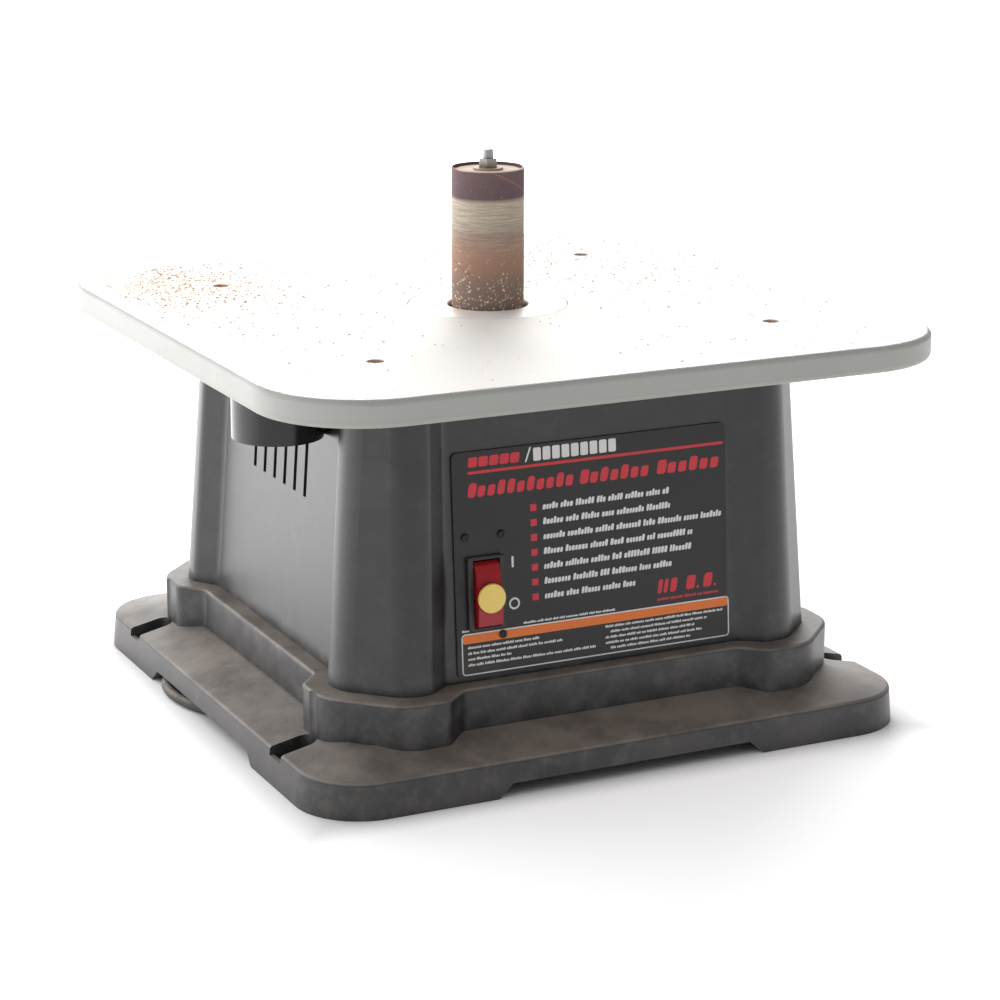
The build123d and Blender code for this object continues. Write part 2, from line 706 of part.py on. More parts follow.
def motor_tie_bolts():
    bolts = []
    for x, y in tie_places():
        rod = cylinder(2.5, MOTOR_LOW - 10, MOTOR_HIGH + 6, x, y)
        head = hexagon_nut(8, 0.5, MOTOR_HIGH + 6, MOTOR_HIGH + 10, x, y)
        head = head + cylinder(0.6, MOTOR_HIGH + 5, MOTOR_HIGH + 9, x, y)
        nut = hexagon_nut(8, 2.5, MOTOR_LOW - 10, MOTOR_LOW - 6, x, y)
        bolts.append(rod + head + nut)
    return Compound(children=bolts)


# ---- spindle ----
def spindle_shaft():
    shaft = cylinder(6.0, GEARCASE_LOW + 1, 100)
    shaft = shaft + cylinder(SHAFT_R, 100, 273)
    shaft = shaft + cylinder(ARBOR_R, 273, 389)
    stud = chamfer(cylinder(STUD_R, 388, STUD_TOP).edges().sort_by(Axis.Z)[-1:], 0.8)
    shaft = shaft + stud
    return shaft


def rotor_core():
    return ring(38.0, SHAFT_R, 132, 182)


def rotor_end_rings():
    rings = [ring(36.0, 22.0, low, low + 6) for low in (126, 182)]
    return Compound(children=rings)


def cooling_fan():
    hub = ring(16.0, SHAFT_R, 195, 203)
    fan = hub + ring(54.0, 12.0, 195, 196.5)
    for angle in range(0, 360, 36):
        fan = fan + Rot(0, 0, angle) * block((14, -1, 195), (54, 1, 203))
    return fan


def drive_worm():
    """One-start right-hand worm; a gap faces the wheel's axis at rest."""
    length = 24.0
    low = WHEEL_Z - length / 2
    core = cylinder(WORM_ROOT, low, low + length)
    turns = 4
    height = turns * WORM_LEAD
    start = WHEEL_Z - height / 2
    path = Pos(0, 0, start) * Helix(WORM_LEAD, height, WORM_ROOT)
    tooth = Plane(origin=(WORM_ROOT, 0, start), x_dir=(1, 0, 0), z_dir=(0, 1, 0))
    section = make_face(Polyline((-0.6, -1.0), (WORM_TIP - WORM_ROOT, -0.4),
                                 (WORM_TIP - WORM_ROOT, 0.4), (-0.6, 1.0), close=True))
    thread = sweep(tooth * section, path=path, is_frenet=True)
    # The helix passes +Y a quarter turn after its start; turning it by a quarter
    # puts a thread half a pitch above and below the wheel's axis there.
    return (core + Rot(0, 0, WORM_PHASE) * thread) - cylinder(6.0, low - 1, low + length + 1)


def drum_flange():
    flange = ring(22.0, ARBOR_R, 273, SLEEVE_LOW)
    return fillet(flange.edges().sort_by(Axis.Z)[:1], 1.0)


def rubber_drum():
    drum = ring(SLEEVE_BORE, ARBOR_R, SLEEVE_LOW, SLEEVE_HIGH - 2)
    return drum


def sanding_sleeve():
    return ring(SLEEVE_R, SLEEVE_BORE, SLEEVE_LOW, SLEEVE_HIGH)


def drum_washer():
    return ring(11.0, STUD_R, SLEEVE_HIGH - 2, SLEEVE_HIGH - 0.5)


def spindle_nut():
    return hexagon_nut(NUT_FLATS, STUD_R, SLEEVE_HIGH - 0.5, SLEEVE_HIGH + 6.4)


# ---- worm wheel and crank ----
def worm_wheel():
    """Spur-toothed wheel on an axis along X, one tooth pointing at the worm."""
    points = []
    for tooth in range(WHEEL_TEETH):
        middle = 2 * math.pi * tooth / WHEEL_TEETH + math.pi
        for radius, half_width, side in ((WHEEL_ROOT, 1.15, -1), (WHEEL_TIP, 0.45, -1),
                                         (WHEEL_TIP, 0.45, 1), (WHEEL_ROOT, 1.15, 1)):
            angle = middle + side * half_width / radius
            points.append((radius * math.cos(angle), radius * math.sin(angle)))
    outline = make_face(Polyline(*points, close=True))
    disc = extrude(Plane.YZ.offset(-5) * outline, 10)
    disc = Pos(0, WHEEL_Y, WHEEL_Z) * disc
    return disc - cross_cylinder(5.0, -6, 6, WHEEL_Y, WHEEL_Z)


def wheel_shaft():
    return cross_cylinder(5.0, -19.5, COVER_X + 3.8, WHEEL_Y, WHEEL_Z)


def crank_disc():
    stub = cross_cylinder(5.0, COVER_X + 4.1, CRANK_X + 1, WHEEL_Y, WHEEL_Z)
    disc = cross_cylinder(17.0, CRANK_X, CRANK_X + 5, WHEEL_Y, WHEEL_Z)
    return stub + disc - cross_cylinder(3.0, CRANK_X - 1, CRANK_X + 6, WHEEL_Y + CRANK_R, WHEEL_Z)


def crank_pin():
    pin = cross_cylinder(3.0, CRANK_X, YOKE_X + 6.5, WHEEL_Y + CRANK_R, WHEEL_Z)
    return pin + cross_cylinder(4.5, YOKE_X + 6, YOKE_X + 7.5, WHEEL_Y + CRANK_R, WHEEL_Z)


def crank_roller():
    outer = cross_cylinder(ROLLER_R, YOKE_X - 0.6, YOKE_X + 5.8, WHEEL_Y + CRANK_R, WHEEL_Z)
    return outer - cross_cylinder(3.0, YOKE_X - 1, YOKE_X + 7, WHEEL_Y + CRANK_R, WHEEL_Z)


# ---- power cord ----
# The route, from the strain relief at the back, over the deck, round behind the
# machine, in under the back skirt, out and in again under the left skirt, and on
# to the coil that is stored inside the base.
RELIEF_END = 220.0
CORD_ROUTE = [
    (EXIT_X, RELIEF_END, EXIT_Z), (EXIT_X, 243, EXIT_Z), (EXIT_X + 1, 270, 34),
    (EXIT_X - 1, 300, 13), (EXIT_X - 10, 332, CORD_Z), (EXIT_X - 34, 352, CORD_Z),
    (EXIT_X - 66, 352, CORD_Z), (EXIT_X - 92, 334, CORD_Z), (EXIT_X - 106, 302, CORD_Z),
    (EXIT_X - 112, 262, CORD_Z), (EXIT_X - 121, 216, CORD_Z), (EXIT_X - 138, 176, CORD_Z),
    (EXIT_X - 168, 146, CORD_Z), (EXIT_X - 212, 130, CORD_Z), (EXIT_X - 254, 120, CORD_Z),
    (-226, 94, CORD_Z), (-236, 58, CORD_Z), (-229, 18, CORD_Z), (-205, -14, CORD_Z),
    (-174, -38, CORD_Z), (-136, -46, CORD_Z), (-100, -46, CORD_Z),
]


def corner_radii(points):
    """Arc radius at each inner point, as large as its two runs allow."""
    radii = []
    for before, here, after in zip(points, points[1:], points[2:]):
        first = Vector(*here) - Vector(*before)
        second = Vector(*after) - Vector(*here)
        half_turn = math.radians(first.get_angle(second)) / 2
        shorter = min(first.length, second.length)
        radii.append(0.45 * shorter / math.tan(half_turn))
    return radii


def power_cord():
    radii = corner_radii(CORD_ROUTE)
    print("cord arc radii:", [round(r) for r in radii])
    path = FilletPolyline(*CORD_ROUTE, radius=radii)
    start = Plane(origin=CORD_ROUTE[0], z_dir=path % 0)
    tube = sweep(start * Circle(CORD_R), path=path)
    print("cord length", round(path.length), "volume ratio",
          round(tube.volume / (math.pi * CORD_R ** 2 * path.length), 4))
    return tube


def cord_coil():
    """Outer shape of two layers of spiral turns, lying on the floor inside the base."""
    return ring(COIL_MEAN_R + 3 * CORD_R, COIL_MEAN_R - 3 * CORD_R,
                0.2, 0.2 + 4 * CORD_R, COIL_X, COIL_Y)


def strain_relief():
    """Tapered rubber sleeve through the back of the plinth, with an inner flange."""
    wall_y = PLINTH[0]
    sleeve = Pos(EXIT_X, 0, EXIT_Z) * (Rot(-90, 0, 0) * Pos(0, 0, (wall_y + RELIEF_END) / 2)
                                       * Cone(7.4, 4.9, RELIEF_END - wall_y))
    neck = Pos(EXIT_X, wall_y - 3, EXIT_Z) * (Rot(90, 0, 0) * Cylinder(6.6, 7))
    flange = Pos(EXIT_X, wall_y + 1.5, EXIT_Z) * (Rot(90, 0, 0) * Cylinder(10, 3))
    inner = Pos(EXIT_X, wall_y - WALL - 2, EXIT_Z) * (Rot(90, 0, 0) * Cylinder(9, 3))
    return sleeve + neck + flange + inner


PLUG_X = COIL_X - 25.5
PLUG_Y = COIL_Y - COIL_MEAN_R - CORD_R
PLUG_Z = 13.0
PLUG_FACE = PLUG_X - 62.0


def plug_body():
    """Moulded plug lying beside the coil, its tapered neck against the last turn."""
    neck = Pos(PLUG_X - 16, PLUG_Y, PLUG_Z) * (Rot(0, -90, 0) * Cone(5.0, 8.5, 32))
    grip = block((PLUG_FACE, PLUG_Y - 13, 0.3), (PLUG_X - 30, PLUG_Y + 13, 25.7))
    grip = fillet(grip.edges(), 4.0)
    return neck + grip


def plug_blades():
    blades = []
    for side in (-1, 1):
        y = PLUG_Y + side * 6.35
        blades.append(block((PLUG_FACE - 17, y - 0.75, PLUG_Z), (PLUG_FACE, y + 0.75, PLUG_Z + 6.3)))
    pin = Pos(PLUG_FACE - 10, PLUG_Y, PLUG_Z - 7.5) * (Rot(0, 90, 0) * Cylinder(2.4, 20))
    blades.append(pin)
    return Compound(children=blades)


NODES = {
    "housing": housing,
    "table_board": table_board,
    "table_laminate": table_laminate,
    "table_edge_band": table_edge_band,
    "table_screws": table_screws,
    "table_insert": table_insert,
    "mounting_plate": mounting_plate,
    "plate_screws": plate_screws,
    "guide_posts": guide_posts,
    "lower_bridge": lower_bridge,
    "bridge_nuts": bridge_nuts,
    "stroke_yoke": stroke_yoke,
    "dust_chamber": dust_chamber,
    "dust_port": dust_port,
    "front_panel": front_panel,
    "switch_bezel": switch_bezel,
    "switch_body": switch_body,
    "switch_screws": switch_screws,
    "switch_paddle": switch_paddle,
    "switch_key": switch_key,
    "holder_rail": holder_rail,
    "accessory_holder": accessory_holder,
    "top_end_bell": top_end_bell,
    "gear_end_bell": gear_end_bell,
    "gearcase_cover": gearcase_cover,
    "cover_screws": cover_screws,
    "guide_bushes": guide_bushes,
    "upper_bearing": lambda: bearing(MOTOR_HIGH - 1),
    "lower_bearing": lambda: bearing(MOTOR_LOW - 11),
    "worm_end_bush": worm_end_bush,
    "motor_shell": motor_shell,
    "stator_core": stator_core,
    "stator_windings": stator_windings,
    "motor_tie_bolts": motor_tie_bolts,
    "spindle_shaft": spindle_shaft,
    "rotor_core": rotor_core,
    "rotor_end_rings": rotor_end_rings,
    "cooling_fan": cooling_fan,
    "drive_worm": drive_worm,
    "drum_flange": drum_flange,
    "rubber_drum": rubber_drum,
    "sanding_sleeve": sanding_sleeve,
    "drum_washer": drum_washer,
    "spindle_nut": spindle_nut,
    "worm_wheel": worm_wheel,
    "wheel_shaft": wheel_shaft,
    "crank_disc": crank_disc,
    "crank_pin": crank_pin,
    "crank_roller": crank_roller,
    "strain_relief": strain_relief,
    "power_cord": power_cord,
    "cord_coil": cord_coil,
    "plug_body": plug_body,
    "plug_blades": plug_blades,
}

os.makedirs("parts", exist_ok=True)
for node_name, make in NODES.items():
    save(node_name, make())
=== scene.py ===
import bpy
import bmesh
import math
import random
from mathutils import Matrix, Vector


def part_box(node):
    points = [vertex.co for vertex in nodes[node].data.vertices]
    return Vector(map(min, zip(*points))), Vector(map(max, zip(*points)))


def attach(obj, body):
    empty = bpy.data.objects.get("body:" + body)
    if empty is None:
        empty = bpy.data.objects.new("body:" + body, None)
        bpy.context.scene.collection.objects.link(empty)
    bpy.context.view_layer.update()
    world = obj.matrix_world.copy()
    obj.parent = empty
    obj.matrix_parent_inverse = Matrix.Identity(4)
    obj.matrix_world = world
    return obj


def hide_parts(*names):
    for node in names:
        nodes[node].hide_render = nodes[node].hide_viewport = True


# Oscillating spindle sander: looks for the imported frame. Metres, +Z up, the
# origin on the floor under the spindle axis, +X right along the front face.

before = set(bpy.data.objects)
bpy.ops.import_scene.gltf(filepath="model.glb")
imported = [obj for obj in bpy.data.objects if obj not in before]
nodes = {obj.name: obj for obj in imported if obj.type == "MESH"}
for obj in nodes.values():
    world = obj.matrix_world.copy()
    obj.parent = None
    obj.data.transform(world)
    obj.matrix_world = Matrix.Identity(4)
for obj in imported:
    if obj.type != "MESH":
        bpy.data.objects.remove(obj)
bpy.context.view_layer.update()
MM = 0.001
TABLE_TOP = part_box("table_laminate")[1].z
SLEEVE_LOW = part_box("sanding_sleeve")[0].z
SLEEVE_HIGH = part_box("sanding_sleeve")[1].z
INSERT_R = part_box("table_insert")[1].x


# ---- camera, light, floor ----
def make_camera():
    data = bpy.data.cameras.new("camera")
    data.lens = 101.05
    data.sensor_width = 36.0
    data.clip_end = 50.0
    camera = bpy.data.objects.new("camera", data)
    bpy.context.scene.collection.objects.link(camera)
    place = (-0.88515, -1.82808, 0.69655)
    azimuth, elevation, roll = (math.radians(a) for a in (-26.1003, 15.3347, 0.1479))
    back = Vector((math.sin(azimuth) * math.cos(elevation),
                   -math.cos(azimuth) * math.cos(elevation), math.sin(elevation)))
    right = Vector((0, 0, 1)).cross(back).normalized()
    up = back.cross(right)
    turned_right = right * math.cos(roll) + up * math.sin(roll)
    turned_up = up * math.cos(roll) - right * math.sin(roll)
    axes = Matrix((turned_right, turned_up, back)).transposed()
    camera.matrix_world = Matrix.Translation(place) @ axes.to_4x4()
    bpy.context.scene.camera = camera


def area_light(name, place, target, size, power):
    """A square, white lamp at place that points at target."""
    data = bpy.data.lights.new(name, "AREA")
    data.shape = "SQUARE"
    data.size = size
    data.energy = power
    lamp = bpy.data.objects.new(name, data)
    bpy.context.scene.collection.objects.link(lamp)
    lamp.location = place
    lamp.rotation_mode = "QUATERNION"
    aim = Vector(target) - Vector(place)
    lamp.rotation_quaternion = aim.to_track_quat("-Z", "Y")


def make_world():
    """A bright wall behind and to the left, a dimmer room in front and to the right."""
    world = bpy.data.worlds.new("studio")
    world.use_nodes = True
    tree = world.node_tree
    background = tree.nodes["Background"]
    background.inputs["Color"].default_value = (0.985, 0.99, 1.0, 1)
    base_strength = 0.27
    direction = tree.nodes.new("ShaderNodeTexCoord").outputs["Generated"]
    brightness = None
    for weights, low, high, gain in (((-0.55, 0.83, 0.0), -0.5, 0.7, 0.85),
                                     ((0.0, 0.0, 1.0), 0.35, 0.95, 0.16)):
        dot = tree.nodes.new("ShaderNodeVectorMath")
        dot.operation = "DOT_PRODUCT"
        tree.links.new(direction, dot.inputs[0])
        dot.inputs[1].default_value = weights
        fade = tree.nodes.new("ShaderNodeMapRange")
        fade.interpolation_type = "SMOOTHSTEP"
        tree.links.new(dot.outputs["Value"], fade.inputs["Value"])
        for socket, value in (("From Min", low), ("From Max", high), ("To Max", gain)):
            fade.inputs[socket].default_value = value
        add = tree.nodes.new("ShaderNodeMath")
        tree.links.new(fade.outputs["Result"], add.inputs[0])
        if brightness:
            tree.links.new(brightness, add.inputs[1])
        else:
            add.inputs[1].default_value = base_strength
        brightness = add.outputs[0]
    tree.links.new(brightness, background.inputs["Strength"])
    bpy.context.scene.world = world
    bpy.context.scene.view_settings.view_transform = "Standard"


def make_floor():
    """White floor that glows towards the wall, but not under the machine's own footprint."""
    reach = 12.0
    below = 0.0002
    footprint, clear_of_it = 0.222, 0.262
    mesh = bpy.data.meshes.new("floor")
    mesh.from_pydata([(-reach, -reach, 0), (reach, -reach, 0), (reach, reach, 0),
                      (-reach, reach, 0)], [], [(0, 1, 2, 3)])
    floor = bpy.data.objects.new("floor", mesh)
    floor.location.z = -below
    bpy.context.scene.collection.objects.link(floor)
    glow = Graph("floor", Base_Color=(0.93, 0.93, 0.94), Roughness=0.9)
    glow.set("Emission Color", (1.0, 1.0, 1.0))
    x, y = glow.axis("X"), glow.axis("Y")
    aside = glow.most(glow.math("ABSOLUTE", x), glow.math("ABSOLUTE", y))
    outside = glow.step(aside, footprint, clear_of_it)
    across = glow.math("ADD", glow.times(x, -0.55), glow.times(y, 0.83))
    strength = glow.value(glow.step(across, 0.10, 0.80), 0.40, 1.50)
    glow.set("Emission Strength", glow.times(outside, strength))
    mesh.materials.append(glow.material)


def make_lights():
    target = (0, 0, 0.2)
    area_light("wall", (-1.25, 2.7, 0.45), target, 2.6, 88)
    area_light("back", (1.4, 2.8, 1.3), target, 2.0, 112)


# ---- material graphs ----
class Graph:
    """A small builder for one procedural material."""

    def __init__(self, name, **sockets):
        self.material = bpy.data.materials.new(name)
        self.material.use_nodes = True
        self.tree = self.material.node_tree
        self.shader = self.tree.nodes["Principled BSDF"]
        self.coordinates = self.tree.nodes.new("ShaderNodeTexCoord")
        self.position = self.coordinates.outputs["Object"]
        for socket, value in sockets.items():
            self.set(socket.replace("_", " "), value)

    def set(self, socket, value):
        """Link or set an input of the shader itself."""
        if isinstance(value, bpy.types.NodeSocket):
            self.tree.links.new(value, self.shader.inputs[socket])
        elif isinstance(value, (tuple, list)):
            self.shader.inputs[socket].default_value = (*value[:3], 1)
        else:
            self.shader.inputs[socket].default_value = value

    def feed(self, socket, value):
        """Link or set any node's input."""
        if isinstance(value, bpy.types.NodeSocket):
            self.tree.links.new(value, socket)
        elif isinstance(value, (tuple, list)):
            size = len(socket.default_value)
            socket.default_value = (*value, 1)[:size]
        else:
            socket.default_value = value

    def math(self, kind, a, b=0.0):
        node = self.tree.nodes.new("ShaderNodeMath")
        node.operation = kind
        self.feed(node.inputs[0], a)
        self.feed(node.inputs[1], b)
        return node.outputs[0]

    def vector(self, kind, a, b):
        node = self.tree.nodes.new("ShaderNodeVectorMath")
        node.operation = kind
        self.feed(node.inputs[0], a)
        self.feed(node.inputs[1], b)
        return node.outputs[0]

    def axis(self, name, source=None):
        node = self.tree.nodes.new("ShaderNodeSeparateXYZ")
        self.feed(node.inputs[0], source or self.position)
        return node.outputs[name]

    def noise(self, scale, detail=3.0, roughness=0.5, stretch=(1, 1, 1), shift=(0, 0, 0)):
        node = self.tree.nodes.new("ShaderNodeTexNoise")
        node.inputs["Scale"].default_value = scale
        node.inputs["Detail"].default_value = detail
        node.inputs["Roughness"].default_value = roughness
        place = self.vector("MULTIPLY", self.position, stretch)
        if any(shift):
            place = self.vector("ADD", place, shift)
        self.feed(node.inputs["Vector"], place)
        return node.outputs["Fac"]

    def cells(self, scale):
        """Distance to the nearest of many scattered points, for specks."""
        node = self.tree.nodes.new("ShaderNodeTexVoronoi")
        node.inputs["Scale"].default_value = scale
        self.feed(node.inputs["Vector"], self.position)
        return node.outputs["Distance"]

    def step(self, value, low, high):
        """Smooth 0 to 1 as value goes from low to high; either may be the larger."""
        node = self.tree.nodes.new("ShaderNodeMapRange")
        node.interpolation_type = "SMOOTHSTEP"
        self.feed(node.inputs["Value"], value)
        rising = low < high
        node.inputs["From Min"].default_value = low if rising else high
        node.inputs["From Max"].default_value = high if rising else low
        node.inputs["To Min"].default_value = 0.0 if rising else 1.0
        node.inputs["To Max"].default_value = 1.0 if rising else 0.0
        return node.outputs["Result"]

    def times(self, *values):
        result = values[0]
        for value in values[1:]:
            result = self.math("MULTIPLY", result, value)
        return result

    def most(self, *values):
        result = values[0]
        for value in values[1:]:
            result = self.math("MAXIMUM", result, value)
        return result

    def blend(self, factor, a, b):
        node = self.tree.nodes.new("ShaderNodeMix")
        node.data_type = "RGBA"
        self.feed(node.inputs["Factor"], factor)
        self.feed(node.inputs["A"], a)
        self.feed(node.inputs["B"], b)
        return node.outputs["Result"]

    def value(self, factor, low, high):
        """A number that runs from low to high with factor."""
        return self.math("ADD", self.math("MULTIPLY", factor, high - low), low)

    def ramp(self, factor, stops):
        node = self.tree.nodes.new("ShaderNodeValToRGB")
        elements = node.color_ramp.elements
        while len(elements) < len(stops):
            elements.new(0.5)
        for element, (place, colour) in zip(elements, stops):
            element.position = place
            element.color = (*colour, 1)
        self.feed(node.inputs["Fac"], factor)
        return node.outputs["Color"]

    def bump(self, height, distance, strength):
        """Small surface relief, up to distance deep."""
        node = self.tree.nodes.new("ShaderNodeBump")
        node.inputs["Strength"].default_value = strength
        node.inputs["Distance"].default_value = distance
        self.feed(node.inputs["Height"], height)
        self.tree.links.new(node.outputs["Normal"], self.shader.inputs["Normal"])

    def facing(self):
        """How far the surface points upwards, in the piece's frame."""
        return self.axis("Z", self.coordinates.outputs["Normal"])

    def from_axis(self, x, y):
        """Distance from the spindle's axis."""
        return self.math("SQRT", self.math("ADD", self.times(x, x), self.times(y, y)))


def paint(material, *names):
    for name in names:
        mesh = nodes[name].data
        mesh.materials.clear()
        mesh.materials.append(material)


def link(obj, body):
    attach(obj, body)
    return obj


# ---- materials ----
SAWDUST = (0.72, 0.34, 0.13)


def housing_plastic():
    """Charcoal moulding: brown dust lies on the ledges and fades up the low walls."""
    g = Graph("housing_plastic")
    plinth_foot, plinth_top = 0.058, 0.100
    skirt_foot, skirt_top = 0.012, 0.045
    z = g.axis("Z")
    up = g.step(g.facing(), 0.15, 0.72)
    cloud = g.noise(9.0, 6.0, 0.62)
    fine = g.noise(60.0, 5.0, 0.6)
    streak = g.noise(26.0, 4.0, 0.6, (1.0, 1.0, 0.12))
    charcoal = g.blend(cloud, (0.012, 0.013, 0.0145), (0.019, 0.020, 0.022))
    scuff = g.times(g.step(streak, 0.55, 0.78), g.step(fine, 0.40, 0.65), 0.30)
    colour = g.blend(scuff, charcoal, (0.060, 0.060, 0.060))
    mottle = g.step(g.noise(16.0, 7.0, 0.66, shift=(3, 1, 0)), 0.30, 0.62)
    deck_dust = g.times(up, g.value(mottle, 0.40, 0.85))
    foot = g.times(g.step(z, plinth_top, plinth_foot), g.step(fine, 0.35, 0.75), 0.22)
    side_dust = g.times(g.step(z, skirt_top, skirt_foot), g.step(cloud, 0.35, 0.7), 0.22)
    film = g.times(g.step(fine, 0.3, 0.8), 0.05)
    dust = g.most(deck_dust, foot, side_dust, film)
    brown = g.blend(fine, (0.200, 0.172, 0.152), (0.360, 0.315, 0.280))
    colour = g.blend(dust, colour, brown)
    stain = g.times(up, g.step(g.noise(7.0, 5.0, 0.7, shift=(9, 4, 2)), 0.60, 0.72), 0.55)
    colour = g.blend(stain, colour, (0.055, 0.046, 0.040))
    g.set("Base Color", colour)
    edge = g.step(g.facing(), 0.14, 0.32)
    g.set("Roughness", g.value(g.most(dust, edge), 0.34, 0.66))
    g.set("Specular IOR Level", 0.62)
    g.bump(g.noise(1500.0, 2.0, 0.5), 0.00010, 0.35)
    return g.material


def laminate():
    """White table face with sawdust at the back left, the right and round the throat."""
    g = Graph("laminate", Specular_IOR_Level=0.2)
    x, y = g.axis("X"), g.axis("Y")
    radius = g.from_axis(x, y)
    back_left = g.times(g.step(x, -0.02, -0.22), g.step(y, -0.10, 0.20))
    right_back = g.times(g.step(x, 0.03, 0.20), g.step(y, -0.02, 0.16))
    round_hole = g.step(radius, 0.15, 0.05)
    density = g.most(back_left, g.times(right_back, 0.55), g.times(round_hole, 0.45), 0.10)
    cloud = g.noise(14.0, 6.0, 0.7)
    specks = g.step(g.cells(620.0), 0.26, 0.12)
    keep = g.step(g.math("ADD", g.noise(95.0, 4.0, 0.75), g.times(density, 0.34)), 0.74, 0.86)
    flecks = g.times(specks, keep)
    tinge = g.times(density, g.step(cloud, 0.30, 0.70), 0.42)
    base = g.blend(cloud, (0.750, 0.712, 0.662), (0.795, 0.768, 0.728))
    colour = g.blend(tinge, base, (0.88, 0.66, 0.47))
    colour = g.blend(flecks, colour, SAWDUST)
    g.set("Base Color", colour)
    g.set("Roughness", g.value(g.most(tinge, flecks), 0.62, 0.88))
    g.bump(g.math("ADD", g.noise(900.0, 2.0), g.times(flecks, 2.0)), 0.00006, 0.5)
    return g.material


def insert_plastic():
    """White throat insert, tinged by dust towards its hole."""
    g = Graph("insert_plastic")
    x, y = g.axis("X"), g.axis("Y")
    radius = g.from_axis(x, y)
    near = g.step(radius, INSERT_R * 0.95, INSERT_R * 0.55)
    cloud = g.noise(40.0, 6.0, 0.7)
    colour = g.blend(cloud, (0.74, 0.71, 0.67), (0.79, 0.77, 0.74))
    tinge = g.times(g.value(near, 0.10, 0.45), g.step(cloud, 0.3, 0.7))
    colour = g.blend(tinge, colour, (0.90, 0.62, 0.42))
    specks = g.times(g.step(g.cells(700.0), 0.24, 0.12), g.step(g.noise(120.0, 3.0), 0.55, 0.68))
    g.set("Base Color", g.blend(specks, colour, SAWDUST))
    g.set("Roughness", g.value(tinge, 0.42, 0.75))
    g.bump(g.noise(800.0, 2.0), 0.00006, 0.5)
    return g.material


def edge_band():
    """Grey edge with a few rusty runs, darker and browner towards its lower corner."""
    g = Graph("edge_band", Specular_IOR_Level=0.3)
    darkening_top, darkening_foot = 0.2785, 0.2715
    cloud = g.noise(7.0, 5.0, 0.6)
    drip = g.noise(60.0, 4.0, 0.6, (1, 1, 0.2), (2, 0, 0))
    colour = g.blend(cloud, (0.375, 0.380, 0.355), (0.435, 0.438, 0.410))
    rust = g.times(g.step(drip, 0.60, 0.72), g.step(cloud, 0.50, 0.64), 0.6)
    colour = g.blend(rust, colour, (0.50, 0.27, 0.13))
    # Darker and browner towards the band's lower corner, by height alone.
    lower_darkening = g.times(g.step(g.axis("Z"), darkening_top, darkening_foot), 0.40)
    colour = g.blend(lower_darkening, colour, (0.33, 0.30, 0.25))
    g.set("Base Color", colour)
    g.set("Roughness", g.value(g.noise(35.0, 4.0), 0.36, 0.55))
    g.bump(g.noise(420.0, 3.0, 0.6), 0.00010, 0.35)
    return g.material


def fibreboard():
    g = Graph("fibreboard", Roughness=0.85)
    fibre = g.noise(260.0, 6.0, 0.7)
    g.set("Base Color", g.ramp(fibre, [(0.3, (0.30, 0.20, 0.12)), (0.7, (0.52, 0.39, 0.26))]))
    g.bump(fibre, 0.0003, 0.6)
    return g.material


SEAM_LEAD = 0.0835
SEAM_SHIFT = 0.128


